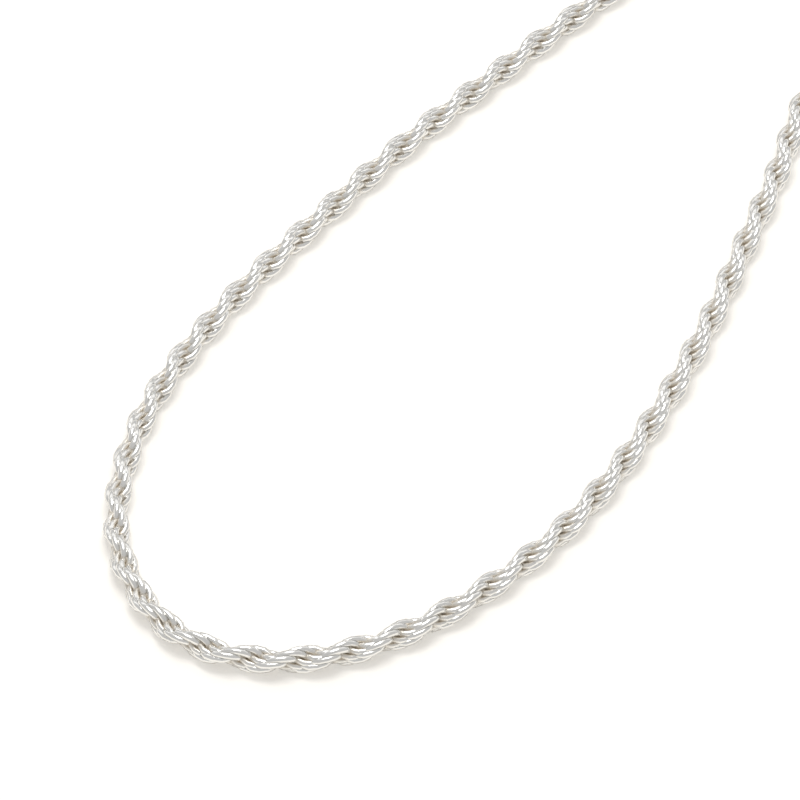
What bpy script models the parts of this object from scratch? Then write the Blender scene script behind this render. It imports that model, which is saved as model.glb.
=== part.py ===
"""Silver rope chain necklace, laid on a flat surface as one closed loop.

The chain is two strands of small soldered rings wound round each other. Here it is one
solid with the outer form of those two strands, a twisted bar with two lobes. A round
eyelet is soldered to each end, and a jump ring links each eyelet to the clasp.

Units are metres, +Z is up and the surface is at z = 0. The origin is under the middle of
the whole necklace. The front of the loop is towards -Y and the clasp is at +Y.
"""

import math

import bmesh
import bpy
import numpy as np
from mathutils import Matrix, Vector

# Rope
ROPE_WIDTH = 0.0032
ROPE_WAIST = 0.0022
HALF_TURN = 0.00605
SECTIONS_PER_HALF_TURN = 6
OUTLINE_POINTS = 10
START_ANGLE = math.radians(102.0)

# How far the twist runs ahead of an even one, in half turns, against the share of the
# rope's length. The rope lies a little looser on the straights and tighter in the bend.
TWIST_LEAD = [
    (0.00, 0.00), (0.22, 0.12), (0.37, -0.33), (0.455, -0.12), (0.57, 0.38),
    (0.67, 0.17), (0.76, -0.17), (0.88, -0.05), (1.00, 0.00),
]

# Eyelets and jump rings
LINK_WIRE = 0.0006
SIDE_GAP = 0.0003
EYELET_SLACK = 0.0001
SOLDER_DEPTH = 0.00025
RING_SEGMENTS = 16
WIRE_SIDES = 6

# A jump ring holds two wires side by side with a gap at both sides and between them,
# and an eyelet's hole holds the jump ring's wire. Radii are those of the wire's middle.
WIRE_STEP = LINK_WIRE + SIDE_GAP
JUMP_RING_RADIUS = 1.5 * WIRE_STEP
EYELET_RADIUS = WIRE_STEP + EYELET_SLACK
LINK_HEIGHT = JUMP_RING_RADIUS + LINK_WIRE / 2

# Clasp
CLASP_BODY_LENGTH = 0.0034
CLASP_BODY_WIDTH = 0.0030
CLASP_BODY_HEIGHT = 0.0030
CLASP_BODY_ROUND = 0.0006
CLASP_ROUND_STEPS = 3
HOOK_LENGTH = 0.0062
HOOK_WIDTH = 0.0040
HOOK_BACK_WIRE = 0.0013
HOOK_POINTS = 24

WELD_DISTANCE = 0.000001
CURVE_SAMPLES = 200

SILVER_COLOUR = (0.86, 0.85, 0.83, 1.0)
SILVER_ROUGHNESS = 0.22
POLISHED_ROUGHNESS = 0.12

# The route of the rope's middle line on the surface, from the clasp's tail round the
# front and back to the clasp's hook. The straight stretch at the clasp isn't in it.
CLASP_LINE_Y = 0.0973
ROUTE = [
    (-0.0148, 0.0953), (-0.0197, 0.0906), (-0.0216, 0.0831), (-0.0204, 0.0740),
    (-0.0169, 0.0631), (-0.0145, 0.0526), (-0.0137, 0.0416), (-0.0143, 0.0296),
    (-0.0163, 0.0175), (-0.0187, 0.0057), (-0.0209, -0.0061), (-0.0230, -0.0179),
    (-0.0244, -0.0298), (-0.0256, -0.0417), (-0.0262, -0.0527), (-0.0259, -0.0627),
    (-0.0244, -0.0726), (-0.0215, -0.0811), (-0.0171, -0.0889), (-0.0105, -0.0950),
    (-0.0022, -0.0983), (0.0066, -0.0969), (0.0138, -0.0916), (0.0194, -0.0834),
    (0.0230, -0.0741), (0.0254, -0.0633), (0.0261, -0.0524), (0.0255, -0.0414),
    (0.0241, -0.0305), (0.0221, -0.0197), (0.0197, -0.0089), (0.0173, 0.0019),
    (0.0143, 0.0128), (0.0118, 0.0276), (0.0109, 0.0396), (0.0117, 0.0511),
    (0.0143, 0.0621), (0.0179, 0.0735), (0.0197, 0.0831), (0.0179, 0.0906),
    (0.0130, 0.0953),
]


def clear_scene():
    """Remove every object of the open scene."""
    for item in list(bpy.data.objects):
        bpy.data.objects.remove(item, do_unlink=True)


def new_collection(name):
    """A collection under the scene's own."""
    group = bpy.data.collections.new(name)
    bpy.context.scene.collection.children.link(group)
    return group


def silver(name, roughness):
    """Plain silver as a Principled material."""
    material = bpy.data.materials.new(name)
    material.use_nodes = True
    shader = material.node_tree.nodes["Principled BSDF"]
    shader.inputs["Base Color"].default_value = SILVER_COLOUR
    shader.inputs["Metallic"].default_value = 1.0
    shader.inputs["Roughness"].default_value = roughness
    return material


def move_to(item, group):
    """Link an object to one collection only."""
    for old in list(item.users_collection):
        old.objects.unlink(item)
    group.objects.link(item)


def as_guide(item, guides):
    """Mark an object as a guide that shows only as wire."""
    move_to(item, guides)
    item.hide_render = True
    item.display_type = "WIRE"
    return item


def clasp_layout():
    """Places along the clasp's line, as x measured from the rope's left end.

    Each piece hangs in the next with SIDE_GAP between their wires, so every place
    follows from the wire and the ring sizes.
    """
    wire_pair = WIRE_STEP / 2
    x = {"rope_start": 0.0}
    x["left_eyelet"] = EYELET_RADIUS - SOLDER_DEPTH
    x["left_ring"] = x["left_eyelet"] + EYELET_RADIUS + wire_pair
    x["tail_eyelet"] = x["left_ring"] + wire_pair + EYELET_RADIUS
    x["body"] = x["tail_eyelet"] + EYELET_RADIUS - SOLDER_DEPTH + CLASP_BODY_LENGTH / 2
    x["hook"] = x["body"] + CLASP_BODY_LENGTH / 2 - HOOK_BACK_WIRE / 2
    x["right_ring"] = x["hook"] + HOOK_LENGTH + wire_pair
    x["right_eyelet"] = x["right_ring"] + wire_pair + EYELET_RADIUS
    x["rope_end"] = x["right_eyelet"] + EYELET_RADIUS - SOLDER_DEPTH
    half = x["rope_end"] / 2
    return {name: place - half for name, place in x.items()}


def smooth_curve(points, end_slope):
    """Cubic spline through points, sampled at even steps of its length.

    Both ends run along end_slope. With chord lengths h and slopes m at the points,
    equal curvatures give h1*m0 + 2*(h0 + h1)*m1 + h0*m2 = 3*(h1*d0 + h0*d1), where d
    is a chord's slope.
    """
    points = np.array(points)
    chord = np.diff(points, axis=0)
    h = np.linalg.norm(chord, axis=1)
    d = chord / h[:, None]
    count = len(points)
    matrix = np.eye(count)
    right = np.zeros((count, 2))
    right[0] = end_slope
    right[-1] = end_slope
    inner = np.arange(1, count - 1)
    matrix[inner, inner - 1] = h[1:]
    matrix[inner, inner] = 2 * (h[:-1] + h[1:])
    matrix[inner, inner + 1] = h[:-1]
    right[1:-1] = 3 * (h[1:, None] * d[:-1] + h[:-1, None] * d[1:])
    slope = np.linalg.solve(matrix, right)
    fine = np.linspace(0, count - 1, CURVE_SAMPLES * count)
    k = np.minimum(fine.astype(int), count - 2)
    t = (fine - k)[:, None]
    a, b = points[k], points[k + 1]
    ma, mb = slope[k] * h[k, None], slope[k + 1] * h[k, None]
    line = (a * (1 + 2 * t) * (1 - t) ** 2 + b * t * t * (3 - 2 * t)
            + ma * t * (1 - t) ** 2 - mb * t * t * (1 - t))
    run = np.append(0, np.cumsum(np.linalg.norm(np.diff(line, axis=0), axis=1)))
    steps = round(run[-1] / HALF_TURN * SECTIONS_PER_HALF_TURN)
    place = np.linspace(0, run[-1], steps + 1)
    even = np.stack([np.interp(place, run, line[:, i]) for i in (0, 1)], axis=1)
    return even, place


def strand_outline(guides):
    """Two-lobed section of the rope: r^2 = (a cos t)^2 + (b sin t)^2."""
    data = bpy.data.curves.new("strand_outline", "CURVE")
    data.dimensions = "2D"
    spline = data.splines.new("POLY")
    spline.points.add(OUTLINE_POINTS - 1)
    for i, point in enumerate(spline.points):
        t = 2 * math.pi * i / OUTLINE_POINTS
        r = math.hypot(ROPE_WIDTH / 2 * math.cos(t), ROPE_WAIST / 2 * math.sin(t))
        point.co = (r * math.cos(t), r * math.sin(t), 0, 1)
    spline.use_cyclic_u = True
    return as_guide(bpy.data.objects.new("strand_outline", data), guides)


def curve_to_mesh(item, name, group):
    """Replace a curve object by a closed mesh object with outward faces."""
    depsgraph = bpy.context.evaluated_depsgraph_get()
    mesh = bpy.data.meshes.new_from_object(item.evaluated_get(depsgraph))
    mesh.name = name
    work = bmesh.new()
    work.from_mesh(mesh)
    bmesh.ops.remove_doubles(work, verts=work.verts, dist=WELD_DISTANCE)
    bmesh.ops.triangulate(work, faces=work.faces)
    bmesh.ops.recalc_face_normals(work, faces=work.faces)
    work.to_mesh(mesh)
    work.free()
    solid = bpy.data.objects.new(name, mesh)
    solid.matrix_world = item.matrix_world
    group.objects.link(solid)
    bpy.data.objects.remove(item, do_unlink=True)
    return solid


def ring(name, centre, radius, group, upright=False):
    """A round wire ring, lying flat or standing with its axis along Y."""
    turn = (math.pi / 2, 0, 0) if upright else (0, 0, 0)
    bpy.ops.mesh.primitive_torus_add(
        major_radius=radius, minor_radius=LINK_WIRE / 2,
        major_segments=RING_SEGMENTS, minor_segments=WIRE_SIDES,
        location=centre, rotation=turn)
    item = bpy.context.object
    item.name = name
    item.data.shade_smooth()
    move_to(item, group)
    return item


def join_to(solid, guide):
    """Fuse a guide to a solid with an exact union."""
    union = solid.modifiers.new(guide.name, "BOOLEAN")
    union.operation = "UNION"
    union.object = guide


def rope(parts, guides, x, material):
    """The twisted two-lobed rope with a soldered eyelet at each end."""
    ends = [(x["rope_start"], CLASP_LINE_Y), (x["rope_end"], CLASP_LINE_Y)]
    line, place = smooth_curve([ends[0]] + ROUTE + [ends[1]], (-1.0, 0.0))
    share, lead = zip(*TWIST_LEAD)
    half_turns = place / HALF_TURN + np.interp(place / place[-1], share, lead)
    data = bpy.data.curves.new("rope_line", "CURVE")
    data.dimensions = "3D"
    data.twist_mode = "Z_UP"
    data.bevel_mode = "OBJECT"
    data.bevel_object = strand_outline(guides)
    data.use_fill_caps = True
    spline = data.splines.new("POLY")
    spline.points.add(len(line) - 1)
    for point, (px, py), turns in zip(spline.points, line, half_turns):
        point.co = (px, py, ROPE_WIDTH / 2, 1)
        point.tilt = START_ANGLE - math.pi * turns
    item = bpy.data.objects.new("rope_line", data)
    parts.objects.link(item)
    solid = curve_to_mesh(item, "rope_chain", parts)
    solid.data.materials.append(material)
    for side in ("left", "right"):
        centre = (x[side + "_eyelet"], CLASP_LINE_Y, LINK_HEIGHT)
        eyelet = ring(side + "_eyelet", centre, EYELET_RADIUS, guides)
        join_to(solid, as_guide(eyelet, guides))
    solid.data.shade_smooth()
    return solid


def jump_rings(parts, x, material):
    """The two upright rings that stand on the surface between eyelet and clasp."""
    for side in ("left", "right"):
        centre = (x[side + "_ring"], CLASP_LINE_Y, LINK_HEIGHT)
        item = ring("jump_ring_" + side, centre, JUMP_RING_RADIUS, parts, upright=True)
        item.data.materials.append(material)


def hook(guides, x):
    """The clasp's closed hook: an oval of wire, thick at the back and fine at the tip.

    The middle line is x = (1 - cos t) * length / 2, y = sin t * (1 + cos t / 4) * width / 2.
    """
    data = bpy.data.curves.new("clasp_hook", "CURVE")
    data.dimensions = "3D"
    data.twist_mode = "Z_UP"
    data.bevel_depth = HOOK_BACK_WIRE / 2
    data.bevel_resolution = 2
    spline = data.splines.new("POLY")
    spline.points.add(HOOK_POINTS - 1)
    tip_share = LINK_WIRE / HOOK_BACK_WIRE
    for i, point in enumerate(spline.points):
        t = 2 * math.pi * i / HOOK_POINTS
        along = (1 - math.cos(t)) * HOOK_LENGTH / 2
        across = math.sin(t) * (1 + math.cos(t) / 4) * HOOK_WIDTH / 2
        point.co = (x["hook"] + along, CLASP_LINE_Y + across, LINK_HEIGHT, 1)
        point.radius = tip_share + (1 - tip_share) * (1 + math.cos(t)) / 2
    spline.use_cyclic_u = True
    item = bpy.data.objects.new("clasp_hook", data)
    guides.objects.link(item)
    return as_guide(curve_to_mesh(item, "clasp_hook", guides), guides)


def clasp(parts, guides, x, material):
    """The clasp as one plain piece: a body with a flat underside, tail eyelet and hook."""
    bpy.ops.mesh.primitive_cube_add(size=1)
    body = bpy.context.object
    body.name = "clasp"
    size = Vector((CLASP_BODY_LENGTH, CLASP_BODY_WIDTH, CLASP_BODY_HEIGHT))
    body.data.transform(Matrix.Diagonal(size).to_4x4())
    body.location = (x["body"], CLASP_LINE_Y, CLASP_BODY_HEIGHT / 2)
    body.data.materials.append(material)
    move_to(body, parts)
    edge = body.modifiers.new("round_edges", "BEVEL")
    edge.width = CLASP_BODY_ROUND
    edge.segments = CLASP_ROUND_STEPS
    tail_centre = (x["tail_eyelet"], CLASP_LINE_Y, LINK_HEIGHT)
    tail = ring("clasp_tail", tail_centre, EYELET_RADIUS, guides)
    join_to(body, as_guide(tail, guides))
    join_to(body, hook(guides, x))
    return body


def build():
    """Make the whole necklace."""
    clear_scene()
    parts = new_collection("rope_chain_necklace")
    guides = new_collection("guides")
    x = clasp_layout()
    rope(parts, guides, x, silver("rope_silver", SILVER_ROUGHNESS))
    jump_rings(parts, x, silver("ring_silver", POLISHED_ROUGHNESS))
    clasp(parts, guides, x, silver("clasp_silver", POLISHED_ROUGHNESS))


build()
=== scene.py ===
"""The looks of a silver rope chain necklace.

The chain is made of small soldered rings. Every ring passes through the ones before it and
is turned half round the rope plus a little more, so the rings lie in two strands that wind
round each other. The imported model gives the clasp, the jump rings and the places where the
rope ends. This file adds the rings, the eyelets, the silver, the floor, lights and camera.
"""

import math

import bpy
import numpy as np
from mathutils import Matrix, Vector


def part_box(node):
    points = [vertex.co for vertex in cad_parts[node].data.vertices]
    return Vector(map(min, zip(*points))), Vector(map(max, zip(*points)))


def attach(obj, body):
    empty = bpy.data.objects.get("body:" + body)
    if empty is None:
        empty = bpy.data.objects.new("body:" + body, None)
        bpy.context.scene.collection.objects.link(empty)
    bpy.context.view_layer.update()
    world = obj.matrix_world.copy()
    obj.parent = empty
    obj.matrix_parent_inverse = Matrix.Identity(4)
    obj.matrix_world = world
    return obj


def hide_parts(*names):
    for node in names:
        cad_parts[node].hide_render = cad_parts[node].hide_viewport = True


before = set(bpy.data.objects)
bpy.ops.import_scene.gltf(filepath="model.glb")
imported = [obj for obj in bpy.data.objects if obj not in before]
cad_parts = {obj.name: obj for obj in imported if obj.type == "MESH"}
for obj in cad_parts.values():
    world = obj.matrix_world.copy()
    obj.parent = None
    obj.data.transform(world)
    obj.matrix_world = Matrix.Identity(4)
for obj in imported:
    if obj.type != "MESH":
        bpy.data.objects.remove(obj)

bl_info = {
    "name": "Rope Chain Necklace",
    "version": (1, 0, 0),
    "blender": (4, 5, 0),
    "location": "3D View > Sidebar > Rope Chain",
    "description": "Makes the rings, the silver and the studio of a rope chain necklace",
    "category": "Mesh",
}

BODY = "root"
ROPE_NODE = "rope_chain"
RING_NODES = ("jump_ring_left", "jump_ring_right")
CLASP_NODE = "clasp"

# The route of the rope's middle line on the surface, from the clasp's tail round the
# front and back to the clasp's hook. The straight stretch at the clasp isn't in it.
ROUTE = [
    (-0.0148, 0.0953), (-0.0197, 0.0906), (-0.0216, 0.0831), (-0.0204, 0.0740),
    (-0.0169, 0.0631), (-0.0145, 0.0526), (-0.0137, 0.0416), (-0.0143, 0.0296),
    (-0.0163, 0.0175), (-0.0187, 0.0057), (-0.0209, -0.0061), (-0.0230, -0.0179),
    (-0.0244, -0.0298), (-0.0256, -0.0417), (-0.0262, -0.0527), (-0.0259, -0.0627),
    (-0.0244, -0.0726), (-0.0215, -0.0811), (-0.0171, -0.0889), (-0.0105, -0.0950),
    (-0.0022, -0.0983), (0.0066, -0.0969), (0.0138, -0.0916), (0.0194, -0.0834),
    (0.0230, -0.0741), (0.0254, -0.0633), (0.0261, -0.0524), (0.0255, -0.0414),
    (0.0241, -0.0305), (0.0221, -0.0197), (0.0197, -0.0089), (0.0173, 0.0019),
    (0.0143, 0.0128), (0.0118, 0.0276), (0.0109, 0.0396), (0.0117, 0.0511),
    (0.0143, 0.0621), (0.0179, 0.0735), (0.0197, 0.0831), (0.0179, 0.0906),
    (0.0130, 0.0953),
]

# How far the twist runs ahead of an even one, in half turns, against the share of the
# rope's length. The rope lies a little looser on the straights and tighter in the bend.
TWIST_LEAD = [
    (0.00, 0.00), (0.22, 0.12), (0.37, -0.33), (0.455, -0.12), (0.57, 0.38),
    (0.67, 0.17), (0.76, -0.17), (0.88, -0.05), (1.00, 0.00),
]

# Steps that the route is cut into between two of its points.
CURVE_SAMPLES = 200

# The small marks and dents of the silver: the detail and sharpness of their noise, the range
# from where it begins to count to where it counts in full, how far it wears the metal, and
# how strong the dents are.
MARK_DETAIL = 3.0
MARK_SHARPNESS = 0.6
MARK_RANGE = (0.50, 0.80)
MARK_WEAR = 0.25
DENT_STRENGTH = 0.35

# The bloom on the silver: how many small marks wide a patch is, and the like for its noise.
BLOOM_SPREAD = 7
BLOOM_DETAIL = 2.0
BLOOM_RANGE = (0.40, 0.72)
BLOOM_WEAR = 0.45

# How much rougher the silver is where it is fully worn.
WEAR_ROUGHNESS = 0.16

# The floor's mottle: its noise's scale and the share of the floor's colour that its dark
# parts keep. Then the floor's roughness and how much the mottle adds to it.
MOTTLE_SCALE = 40.0
MOTTLE_SHADE = 0.985
FLOOR_ROUGHNESS = 0.75
MOTTLE_ROUGHNESS = 0.1

# The camera's sensor in millimetres, and from how near it sees, in metres.
SENSOR_WIDTH = 36.0
NEAREST_SEEN = 0.01

BLACK = (0.0, 0.0, 0.0)


def node_middle(name):
    """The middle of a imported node's box."""
    low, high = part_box(name)
    return (low + high) / 2


def node_top(name):
    """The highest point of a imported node."""
    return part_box(name)[1].z


def length_property(name, description, default):
    """A size in metres."""
    return bpy.props.FloatProperty(
        name=name, description=description, default=default, unit="LENGTH", precision=5)


def angle_property(name, description, degrees):
    """An angle, given in degrees and held in radians."""
    return bpy.props.FloatProperty(
        name=name, description=description, default=math.radians(degrees), unit="ROTATION")


def share_property(name, description, default):
    """A share from 0 to 1."""
    return bpy.props.FloatProperty(
        name=name, description=description, default=default, min=0, max=1, subtype="FACTOR")


def colour_property(name, description, default):
    """A colour in linear red, green and blue."""
    return bpy.props.FloatVectorProperty(
        name=name, description=description, default=default, size=3, min=0, subtype="COLOR")


class RopeSizes(bpy.types.PropertyGroup):
    """Sizes of the rope and its rings."""

    height: length_property(
        "Rope height", "Height of the rope where a strand lies on top",
        node_top(ROPE_NODE))
    half_turn: length_property(
        "Half turn", "Length of rope in which the strands change places", 0.00605)
    rings_per_half_turn: bpy.props.IntProperty(
        name="Rings per half turn", description="Rings of both strands in a half turn",
        default=11, min=6)
    start_angle: angle_property(
        "Start angle", "Turn of the strands about the rope at its first end", 126)
    wire: length_property("Wire", "Thickness of a ring's wire", 0.0008)
    ring_length: length_property(
        "Ring length", "Half the length of the middle of a ring's wire, along the rope",
        0.00166)
    ring_radius: length_property(
        "Ring radius", "Half the height of the middle of a ring's wire, out of the rope",
        0.0010)
    out: length_property(
        "Out", "How far a ring's middle lies out from the rope's middle", 0.0003)
    lean: angle_property("Lean", "Turn of a ring out of the rope's direction", -7)
    roll: angle_property("Roll", "Turn of a ring about the rope's direction", -44)
    planed_radius: length_property(
        "Planed radius", "Distance from the rope's middle where wires are worn flat", 0.00158)
    planed_share: share_property(
        "Planed share", "How much of what stands beyond the planed radius is worn off", 0.65)
    ring_segments: bpy.props.IntProperty(
        name="Ring segments", description="Faces along a ring", default=12, min=8)
    wire_sides: bpy.props.IntProperty(
        name="Wire sides", description="Faces round a ring's wire", default=6, min=5)


class EndSizes(bpy.types.PropertyGroup):
    """Sizes of the eyelets soldered to the rope's ends."""

    wire: length_property("Eyelet wire", "Thickness of an eyelet's wire", 0.0006)
    radius: length_property("Eyelet radius", "Radius of the middle of its wire", 0.0010)
    gap: length_property("Gap", "Gap between an eyelet and the jump ring in it", 0.0003)
    solder: length_property("Solder depth", "How deep an eyelet is let into the rope", 0.00025)
    segments: bpy.props.IntProperty(
        name="Eyelet segments", description="Faces along an eyelet", default=32, min=12)
    sides: bpy.props.IntProperty(
        name="Eyelet sides", description="Faces round its wire", default=12, min=6)


class SilverLooks(bpy.types.PropertyGroup):
    """Colours and wear of the silver."""

    bright: colour_property("Bright silver", "Clean, rubbed silver", (0.87, 0.86, 0.835))
    dull: colour_property("Dull silver", "Silver with a faint bloom", (0.76, 0.75, 0.72))
    # Tarnish and painted shade: the brown deep between the wires.
    tarnish_and_shade: colour_property("Tarnish", "Brown film deep between wires", (0.64, 0.575, 0.475))
    rope_roughness: share_property("Rope roughness", "Roughness of rubbed rope", 0.16)
    clasp_roughness: share_property("Clasp roughness", "Roughness of the clasp", 0.26)
    groove_roughness: share_property("Groove roughness", "Roughness between wires", 0.5)
    # Part of the tarnish and painted shade: the metal deep between the wires is less shiny and
    # darker.
    groove_film_and_shade: share_property("Groove film", "How far the film hides the metal", 0.6)
    groove_depth: length_property(
        "Groove depth", "Distance from the rope's middle where tarnish begins", 0.00112)
    groove_bottom: length_property(
        "Groove bottom", "Distance from the rope's middle where tarnish is full", 0.0005)
    mark_size: length_property("Mark size", "Size of the small dents and rubbed marks", 0.0006)
    mark_depth: length_property("Mark depth", "Depth of the small dents", 0.000003)


class StageSizes(bpy.types.PropertyGroup):
    """Floor, lights and camera."""

    floor_size: length_property("Floor size", "Side of the square floor", 6.0)
    floor_colour: colour_property("Floor colour", "Matt white floor", (0.84, 0.81, 0.76))
    # Painted light: the floor's glow near the chain stands in for fill light and lightens the
    # chain's shadow.
    floor_painted_glow: colour_property(
        "Floor glow", "Light that comes up through the floor", (0.285, 0.284, 0.28))
    glow_start: length_property("Glow start", "How far out the floor glows in full", 0.16)
    glow_end: length_property("Glow end", "How far out the floor's glow ends", 0.7)
    room_colour: colour_property("Room colour", "Light of the room", (1.0, 1.0, 1.0))
    room_strength: bpy.props.FloatProperty(
        name="Room strength", description="Strength of the room's light", default=0.605, min=0)
    key_power: bpy.props.FloatProperty(
        name="Key power", description="Power of the square light high above the chain",
        default=2.6, unit="POWER")
    key_size: length_property("Key size", "Side of the square light", 0.42)
    key_distance: length_property("Key distance", "Distance of the square light", 0.8)
    key_azimuth: angle_property("Key azimuth", "Its direction, left of straight behind", 12)
    key_elevation: angle_property("Key elevation", "Its height above the floor", 78)
    bank_power: bpy.props.FloatProperty(
        name="Bank power", description="Power of the long low light behind the chain",
        default=1.6, unit="POWER")
    bank_length: length_property("Bank length", "Length of the long low light", 2.4)
    bank_height: length_property("Bank height", "Height of the long low light", 0.4)
    bank_distance: length_property("Bank distance", "Distance of the long low light", 1.0)
    bank_elevation: angle_property("Bank elevation", "Its height above the floor", 40)
    camera_azimuth: angle_property("Camera azimuth", "Direction of the camera", 32)
    camera_elevation: angle_property("Camera elevation", "Camera's height above the floor", 46)
    camera_distance: length_property("Camera distance", "Distance to what it aims at", 0.69204)
    camera_lens: bpy.props.FloatProperty(
        name="Lens", description="Focal length on a 36 mm sensor", default=270, unit="CAMERA")
    aim: bpy.props.FloatVectorProperty(
        name="Aim", description="The point in the middle of the picture",
        default=(-0.0009, -0.0544, 0.0015), size=3, unit="LENGTH")


class Value:
    """A socket of a material's nodes. Arithmetic on it adds Math nodes."""

    def __init__(self, tree, socket=None):
        self.tree = tree
        self.socket = socket

    def node(self, kind, settings=None, inputs=None, output=0):
        """Adds a node, sets it up, then gives its sockets their values or links."""
        item = self.tree.nodes.new(kind)
        for name, setting in (settings or {}).items():
            setattr(item, name, setting)
        for key, value in (inputs or {}).items():
            if isinstance(value, Value):
                self.tree.links.new(value.socket, item.inputs[key])
            else:
                item.inputs[key].default_value = value
        return Value(self.tree, item.outputs[output])

    def math(self, operation, *values):
        """A Math node on the values."""
        return self.node("ShaderNodeMath", {"operation": operation}, dict(enumerate(values)))

    def __add__(self, other):
        return self.math("ADD", self, other)

    def __radd__(self, other):
        return self.math("ADD", other, self)

    def __sub__(self, other):
        return self.math("SUBTRACT", self, other)

    def __rsub__(self, other):
        return self.math("SUBTRACT", other, self)

    def __mul__(self, other):
        return self.math("MULTIPLY", self, other)

    def __rmul__(self, other):
        return self.math("MULTIPLY", other, self)

    def between(self, low, high):
        """0 where this value is at low and 1 where it is at high, smooth in between."""
        settings = {"interpolation_type": "SMOOTHSTEP"}
        return self.node("ShaderNodeMapRange", settings, {0: self, 1: low, 2: high})

    def mix(self, first, second):
        """The first colour where this value is 0 and the second where it is 1.

        A Mix node takes its two colours at sockets 6 and 7 and gives its colour at 2.
        """
        settings = {"data_type": "RGBA"}
        return self.node("ShaderNodeMix", settings, {0: self, 6: first, 7: second}, output=2)


def opaque(colour):
    """A colour with full alpha."""
    return (*colour, 1.0)


def new_material(name):
    """An empty node material: its first Value and its Principled shader."""
    material = bpy.data.materials.new(name)
    material.use_nodes = True
    tree = material.node_tree
    return material, Value(tree), tree.nodes["Principled BSDF"]


def feed(shader, name, value):
    """Links a value to a socket of a shader."""
    value.tree.links.new(value.socket, shader.inputs[name])


def silver(name, looks, roughness, grooved):
    """Rubbed silver with small dents, uneven bloom and, where grooved, brown grooves.

    The marks are noise on Object coordinates. The grooves read the piece's own attribute
    "from_middle", the distance from the rope's middle line, and towards it the silver turns to
    tarnish and painted shade: brown, rougher and less metallic deep between the wires.
    """
    material, start, shader = new_material(name)
    place = start.node("ShaderNodeTexCoord", output="Object")
    fine = 1 / looks.mark_size
    marks = start.node("ShaderNodeTexNoise", None, {
        "Vector": place, "Scale": fine, "Detail": MARK_DETAIL, "Roughness": MARK_SHARPNESS})
    bloom = start.node("ShaderNodeTexNoise", None, {
        "Vector": place, "Scale": fine / BLOOM_SPREAD, "Detail": BLOOM_DETAIL})
    worn = bloom.between(*BLOOM_RANGE) * BLOOM_WEAR + marks.between(*MARK_RANGE) * MARK_WEAR
    colour = worn.mix(opaque(looks.bright), opaque(looks.dull))
    rough = worn * WEAR_ROUGHNESS + roughness
    if grooved:
        middle = start.node(
            "ShaderNodeAttribute", {"attribute_name": "from_middle"}, output="Fac")
        # Tarnish and painted shade: deep between the wires the silver turns brown, rougher and
        # less metallic.
        groove = middle.between(looks.groove_depth, looks.groove_bottom)
        colour = groove.mix(colour, opaque(looks.tarnish_and_shade))
        rough = rough + groove * (looks.groove_roughness - roughness)
        feed(shader, "Metallic", 1 - groove * looks.groove_film_and_shade)
    else:
        shader.inputs["Metallic"].default_value = 1.0
    bump = start.node("ShaderNodeBump", None, {
        "Height": marks, "Strength": DENT_STRENGTH, "Distance": looks.mark_depth})
    feed(shader, "Base Color", colour)
    feed(shader, "Roughness", rough)
    feed(shader, "Normal", bump)
    return material


def unit(vectors):
    """Vectors scaled to length 1 along their last axis."""
    return vectors / np.linalg.norm(vectors, axis=-1, keepdims=True)


def dot(first, second):
    """Dot products along the last axis, which is kept."""
    return np.sum(first * second, axis=-1, keepdims=True)


def route_line(ends):
    """The rope's middle line: places along it, points and directions.

    A cubic spline runs through the ends and the route's points and leaves both ends along
    -X. With chord lengths h and slopes m, equal curvatures at the points give
    h1*m0 + 2*(h0 + h1)*m1 + h0*m2 = 3*(h1*d0 + h0*d1), where d is a chord's slope.
    """
    points = np.array([ends[0]] + ROUTE + [ends[1]])
    chord = np.diff(points, axis=0)
    h = np.linalg.norm(chord, axis=1)
    d = chord / h[:, None]
    count = len(points)
    matrix = np.eye(count)
    right = np.zeros((count, 2))
    right[0] = (-1.0, 0.0)
    right[-1] = (-1.0, 0.0)
    inner = np.arange(1, count - 1)
    matrix[inner, inner - 1] = h[1:]
    matrix[inner, inner] = 2 * (h[:-1] + h[1:])
    matrix[inner, inner + 1] = h[:-1]
    right[1:-1] = 3 * (h[1:, None] * d[:-1] + h[:-1, None] * d[1:])
    slope = np.linalg.solve(matrix, right)
    fine = np.linspace(0, count - 1, CURVE_SAMPLES * count)
    k = np.minimum(fine.astype(int), count - 2)
    t = (fine - k)[:, None]
    a, b = points[k], points[k + 1]
    ma, mb = slope[k] * h[k, None], slope[k + 1] * h[k, None]
    line = (a * (1 + 2 * t) * (1 - t) ** 2 + b * t * t * (3 - 2 * t)
            + ma * t * (1 - t) ** 2 - mb * t * t * (1 - t))
    run = np.append(0, np.cumsum(np.linalg.norm(np.diff(line, axis=0), axis=1)))
    return run, line, unit(np.gradient(line, axis=0))


def ring_places(sizes, length):
    """Where each ring sits along the rope, and the angle of its lobe there.

    The rings lie evenly between the rope's ends. Ring i, at place s, has the angle
    p = start - pi * (s / half turn + lead) + pi * (i odd).
    """
    pitch = sizes.half_turn / sizes.rings_per_half_turn
    reach = sizes.ring_length + sizes.wire / 2
    count = int((length - 2 * reach) / pitch) + 1
    index = np.arange(count)
    place = reach + (length - 2 * reach) * index / (count - 1)
    share, lead = zip(*TWIST_LEAD)
    turns = place / sizes.half_turn + np.interp(place / length, share, lead)
    return place, sizes.start_angle - math.pi * turns + math.pi * (index % 2)


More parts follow.
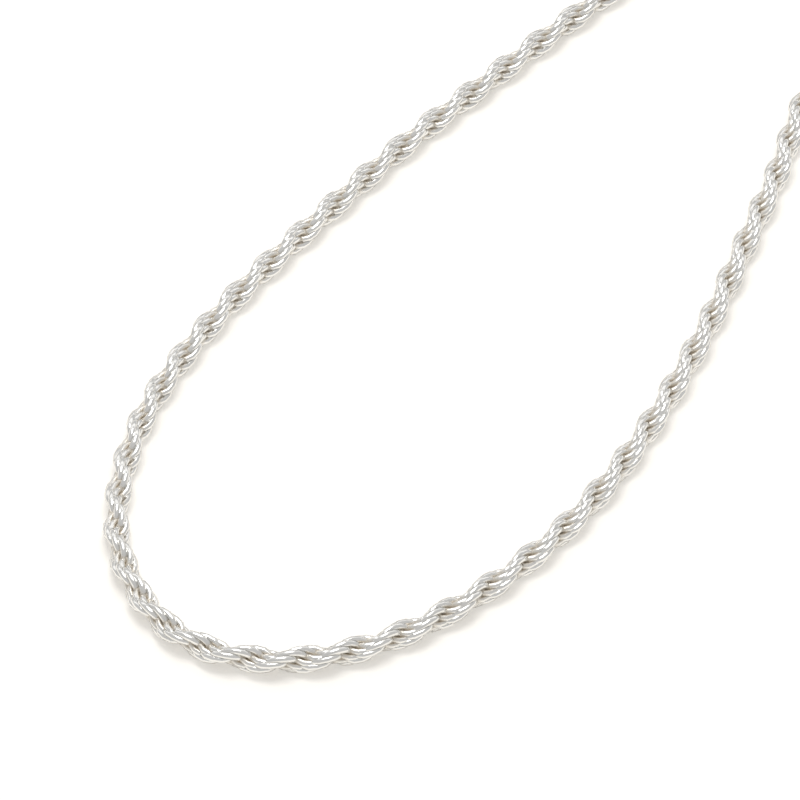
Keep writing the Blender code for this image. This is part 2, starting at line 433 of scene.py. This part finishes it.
def ring_corners(sizes, p):
    """Corners of the rings with lobe angles p, each about its place on a straight rope.

    With x along the rope, y across it and z up, r = (0, cos p, sin p) points out of the
    strand and q = (0, sin p, -cos p) is square to it. The ring lies in the plane whose
    normal is n = q + tan(lean) x + tan(roll) r, with x and r flattened into it as e and f.
    The middle of the wire is the oval m = out * r + L cos u * e + R sin u * f, with L and R
    half the ring's length and height, and a corner is m + o * w cos v - n * w sin v, with o
    square to the oval and w half the wire. The minus turns the faces outwards.
    """
    zero, one = np.zeros_like(p), np.ones_like(p)
    x = np.stack([one, zero, zero], axis=1)
    r = np.stack([zero, np.cos(p), np.sin(p)], axis=1)
    q = np.stack([zero, np.sin(p), -np.cos(p)], axis=1)
    n = unit(q + math.tan(sizes.lean) * x + math.tan(sizes.roll) * r)
    e = unit(x - n * dot(x, n))
    f = unit(r - n * dot(r, n) - e * dot(r, e))
    u = np.linspace(0, 2 * math.pi, sizes.ring_segments, endpoint=False)
    v = np.linspace(0, 2 * math.pi, sizes.wire_sides, endpoint=False)
    v = v + math.pi / sizes.wire_sides
    cos_u, sin_u = np.cos(u)[None, :, None, None], np.sin(u)[None, :, None, None]
    cos_v, sin_v = np.cos(v)[None, None, :, None], np.sin(v)[None, None, :, None]
    w = sizes.wire / 2
    e, f, n, r = (a[:, None, None, :] for a in (e, f, n, r))
    middle = e * cos_u * sizes.ring_length + f * sin_u * sizes.ring_radius
    outward = unit(e * cos_u * sizes.ring_radius + f * sin_u * sizes.ring_length)
    return sizes.out * r + middle + outward * w * cos_v - n * w * sin_v


def rope_rings(sizes, run, line, way):
    """Corners and faces of every ring, and each corner's distance from the middle line.

    What stands beyond the planed radius is worn back by the planed share. A corner's x then
    runs along the middle line, its y across it and its z up from half the rope's height.
    """
    place, p = ring_places(sizes, run[-1])
    corner = ring_corners(sizes, p)
    far = np.hypot(corner[..., 1], corner[..., 2])
    worn = np.maximum(far - sizes.planed_radius, 0) * sizes.planed_share
    corner[..., 1:] *= ((far - worn) / far)[..., None]
    along = place[:, None, None] + corner[..., 0]
    spot = np.stack([np.interp(along, run, line[:, i]) for i in (0, 1)], axis=-1)
    ahead = np.stack([np.interp(along, run, way[:, i]) for i in (0, 1)], axis=-1)
    across = np.stack([-ahead[..., 1], ahead[..., 0]], axis=-1)
    ground = spot + across * corner[..., 1:2]
    height = corner[..., 2:] + sizes.height / 2
    points = np.concatenate([ground, height], axis=-1)
    faces = ring_faces(len(place), sizes.ring_segments, sizes.wire_sides)
    return points.reshape(-1, 3), faces, (far - worn).ravel()


def ring_faces(count, segments, sides):
    """Four-cornered faces of count rings whose corners run round the wire, then the ring."""
    ring = np.arange(count)[:, None, None] * segments * sides
    j = np.arange(segments)[None, :, None]
    k = np.arange(sides)[None, None, :]
    j_next, k_next = (j + 1) % segments, (k + 1) % sides
    corners = [(j, k), (j_next, k), (j_next, k_next), (j, k_next)]
    return np.stack([ring + a * sides + b for a, b in corners], axis=-1).reshape(-1, 4)


def eyelet_rings(sizes, centres):
    """Corners and faces of flat round rings: a torus about each centre."""
    u = np.linspace(0, 2 * math.pi, sizes.segments, endpoint=False)[:, None]
    v = np.linspace(0, 2 * math.pi, sizes.sides, endpoint=False)[None, :]
    wide = sizes.radius + sizes.wire / 2 * np.cos(v)
    tall = sizes.wire / 2 * np.sin(v) * np.ones_like(u)
    corner = np.stack([wide * np.cos(u), wide * np.sin(u), tall], axis=-1)
    points = np.array(centres)[:, None, None, :] + corner[None]
    faces = ring_faces(len(centres), sizes.segments, sizes.sides)
    return points.reshape(-1, 3), faces


def new_piece(name, points, faces, material):
    """A smooth mesh object at the origin that rides on the necklace."""
    mesh = bpy.data.meshes.new(name)
    mesh.vertices.add(len(points))
    mesh.vertices.foreach_set("co", points.astype(np.float32).ravel())
    mesh.loops.add(faces.size)
    mesh.loops.foreach_set("vertex_index", faces.astype(np.int32).ravel())
    mesh.polygons.add(len(faces))
    starts = np.arange(len(faces), dtype=np.int32) * faces.shape[1]
    mesh.polygons.foreach_set("loop_start", starts)
    mesh.update(calc_edges=True)
    mesh.validate()
    mesh.shade_smooth()
    mesh.materials.append(material)
    piece = bpy.data.objects.new(name, mesh)
    bpy.context.scene.collection.objects.link(piece)
    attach(piece, BODY)
    return piece


def side_places(sizes):
    """For each side, the eyelet's middle and the rope's end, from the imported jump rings."""
    places = []
    for node, way in zip(RING_NODES, (-1, 1)):
        ring = node_middle(node)
        eyelet_x = ring.x + way * (sizes.radius + (sizes.wire + sizes.gap) / 2)
        end_x = eyelet_x + way * (sizes.radius - sizes.solder)
        places.append(((eyelet_x, ring.y, ring.z), (end_x, ring.y)))
    return places


def paint(name, material):
    """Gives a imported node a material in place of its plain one."""
    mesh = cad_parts[name].data
    mesh.materials.clear()
    mesh.materials.append(material)


class NECKLACE_OT_rope(bpy.types.Operator):
    """Make the rope's rings in place of the plain rope"""

    bl_idname = "necklace.rope"
    bl_label = "Rope Rings"

    def execute(self, context):
        sizes = context.scene.rope_sizes
        looks = context.scene.silver_looks
        ends = [end for _, end in side_places(context.scene.end_sizes)]
        run, line, way = route_line(ends)
        points, faces, middle = rope_rings(sizes, run, line, way)
        material = silver("rope silver", looks, looks.rope_roughness, grooved=True)
        piece = new_piece("rope_rings", points, faces, material)
        attribute = piece.data.attributes.new("from_middle", "FLOAT", "POINT")
        attribute.data.foreach_set("value", middle.astype(np.float32))
        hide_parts(ROPE_NODE)
        return {"FINISHED"}


class NECKLACE_OT_eyelets(bpy.types.Operator):
    """Make the two eyelets soldered to the rope's ends"""

    bl_idname = "necklace.eyelets"
    bl_label = "Eyelets"

    def execute(self, context):
        sizes = context.scene.end_sizes
        looks = context.scene.silver_looks
        centres = [eyelet for eyelet, _ in side_places(sizes)]
        points, faces = eyelet_rings(sizes, centres)
        material = silver("eyelet silver", looks, looks.clasp_roughness, grooved=False)
        piece = new_piece("rope_eyelets", points, faces, material)
        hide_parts(ROPE_NODE)
        return {"FINISHED"}


class NECKLACE_OT_clasp(bpy.types.Operator):
    """Give the clasp and the jump rings their polished silver"""

    bl_idname = "necklace.clasp"
    bl_label = "Clasp and Jump Rings"

    def execute(self, context):
        looks = context.scene.silver_looks
        material = silver("clasp silver", looks, looks.clasp_roughness, grooved=False)
        for name in (CLASP_NODE, *RING_NODES):
            paint(name, material)
        return {"FINISHED"}


def direction(azimuth, elevation):
    """Unit vector from the aim point at an azimuth and elevation, 0 azimuth towards -Y."""
    flat = math.cos(elevation)
    return Vector((math.sin(azimuth) * flat, -math.cos(azimuth) * flat, math.sin(elevation)))


def looking(item, place, target):
    """Puts a camera or light at a place and turns it to a target."""
    item.location = place
    item.rotation_euler = (target - place).to_track_quat("-Z", "Y").to_euler()
    bpy.context.scene.collection.objects.link(item)


def area_light(name, place, target, size, power):
    """A rectangular soft light, size wide and high."""
    data = bpy.data.lights.new(name, "AREA")
    data.shape = "RECTANGLE"
    data.size, data.size_y = size
    data.energy = power
    looking(bpy.data.objects.new(name, data), place, target)


def floor_material(sizes):
    """Matt white board with a very faint mottle, and a painted glow near the chain that
    lightens its shadow.
    """
    material, start, shader = new_material("floor white")
    place = start.node("ShaderNodeTexCoord", output="Object")
    mottle = start.node("ShaderNodeTexNoise", None, {"Vector": place, "Scale": MOTTLE_SCALE})
    distance = start.node("ShaderNodeVectorMath", {"operation": "LENGTH"}, {0: place}, "Value")
    near = distance.between(sizes.glow_end, sizes.glow_start)
    shade = tuple(c * MOTTLE_SHADE for c in sizes.floor_colour)
    feed(shader, "Base Color", mottle.mix(opaque(sizes.floor_colour), opaque(shade)))
    feed(shader, "Roughness", mottle * MOTTLE_ROUGHNESS + FLOOR_ROUGHNESS)
    # Painted light: near the chain the floor glows, which lightens it and the chain's shadow.
    feed(shader, "Emission Color", near.mix(opaque(BLACK), opaque(sizes.floor_painted_glow)))
    shader.inputs["Emission Strength"].default_value = 1.0
    return material


def make_floor(sizes):
    """The square floor under the chain, at z = 0."""
    half = sizes.floor_size / 2
    mesh = bpy.data.meshes.new("floor")
    corners = [(-half, -half, 0), (half, -half, 0), (half, half, 0), (-half, half, 0)]
    mesh.from_pydata(corners, [], [(0, 1, 2, 3)])
    mesh.materials.append(floor_material(sizes))
    floor = bpy.data.objects.new("floor", mesh)
    bpy.context.scene.collection.objects.link(floor)


def make_room(sizes):
    """The even light of the room."""
    world = bpy.data.worlds.new("room")
    world.use_nodes = True
    light = world.node_tree.nodes["Background"]
    light.inputs["Color"].default_value = opaque(sizes.room_colour)
    light.inputs["Strength"].default_value = sizes.room_strength
    bpy.context.scene.world = world


def make_lights(sizes, aim):
    """The square key light high above the chain and the long low bank behind it."""
    behind = sizes.camera_azimuth + math.pi
    way = direction(behind + sizes.key_azimuth, sizes.key_elevation)
    square = (sizes.key_size, sizes.key_size)
    area_light("key", aim + way * sizes.key_distance, aim, square, sizes.key_power)
    way = direction(behind, sizes.bank_elevation)
    long = (sizes.bank_length, sizes.bank_height)
    area_light("bank", aim + way * sizes.bank_distance, aim, long, sizes.bank_power)


def make_camera(sizes, aim):
    """The camera, which looks down at the aim point from the front right."""
    data = bpy.data.cameras.new("camera")
    data.lens = sizes.camera_lens
    data.sensor_width = SENSOR_WIDTH
    data.clip_start = NEAREST_SEEN
    camera = bpy.data.objects.new("camera", data)
    back = direction(sizes.camera_azimuth, sizes.camera_elevation)
    looking(camera, aim + back * sizes.camera_distance, aim)
    bpy.context.scene.camera = camera


class NECKLACE_OT_stage(bpy.types.Operator):
    """Make the floor, the lights and the camera"""

    bl_idname = "necklace.stage"
    bl_label = "Stage"

    def execute(self, context):
        sizes = context.scene.stage_sizes
        aim = Vector(sizes.aim)
        make_floor(sizes)
        make_room(sizes)
        make_lights(sizes, aim)
        make_camera(sizes, aim)
        context.scene.view_settings.view_transform = "Standard"
        return {"FINISHED"}


class NECKLACE_PT_panel(bpy.types.Panel):
    """The necklace's steps and sizes in the sidebar"""

    bl_idname = "NECKLACE_PT_panel"
    bl_label = "Rope Chain"
    bl_space_type = "VIEW_3D"
    bl_region_type = "UI"
    bl_category = "Rope Chain"

    def draw(self, context):
        for operator, groups in STEPS:
            box = self.layout.box()
            box.operator(operator.bl_idname)
            for group in groups:
                settings = getattr(context.scene, group)
                for name in settings.__annotations__:
                    box.prop(settings, name)


GROUPS = {
    "rope_sizes": RopeSizes,
    "end_sizes": EndSizes,
    "silver_looks": SilverLooks,
    "stage_sizes": StageSizes,
}
STEPS = [
    (NECKLACE_OT_rope, ["rope_sizes"]),
    (NECKLACE_OT_eyelets, ["end_sizes"]),
    (NECKLACE_OT_clasp, ["silver_looks"]),
    (NECKLACE_OT_stage, ["stage_sizes"]),
]
CLASSES = [*GROUPS.values(), *(operator for operator, _ in STEPS), NECKLACE_PT_panel]


def register():
    """Adds the classes and the scene's settings."""
    for item in CLASSES:
        bpy.utils.register_class(item)
    for name, group in GROUPS.items():
        setattr(bpy.types.Scene, name, bpy.props.PointerProperty(type=group))


def unregister():
    """Takes the settings and the classes away again."""
    for name in GROUPS:
        delattr(bpy.types.Scene, name)
    for item in reversed(CLASSES):
        bpy.utils.unregister_class(item)


def main():
    """Makes the whole scene."""
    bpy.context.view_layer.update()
    register()
    bpy.ops.necklace.rope()
    bpy.ops.necklace.eyelets()
    bpy.ops.necklace.clasp()
    bpy.ops.necklace.stage()


if __name__ == "__main__":
    main()
